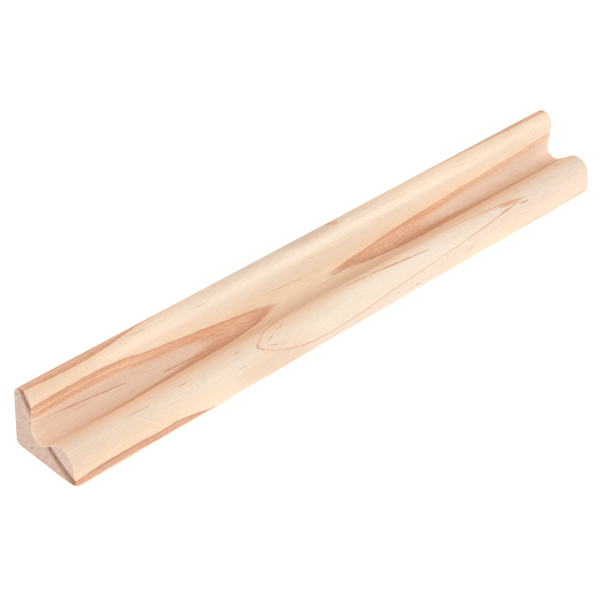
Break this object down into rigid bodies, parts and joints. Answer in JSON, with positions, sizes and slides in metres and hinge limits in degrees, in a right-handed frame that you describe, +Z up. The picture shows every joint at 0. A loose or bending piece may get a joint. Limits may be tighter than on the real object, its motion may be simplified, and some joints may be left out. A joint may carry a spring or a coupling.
{
  "type": "letter tile rack",
  "caption": "One-piece moulded wooden rack with a rounded back board, a round-bottomed groove for a row of letter tiles and a low rounded front lip.",
  "frame": {"origin": "middle of the flat base the rack stands on", "axes": "+X along the rack's length, to the right for someone who faces the tiles; +Y towards the board at the back; +Z up"},
  "size_m": [0.19, 0.022, 0.018],
  "materials": {
    "wood": "bare, finely sanded softwood"
  },
  "bodies": {
    "root": {"tile_rack": "wood"}
  },
  "joints": []
}
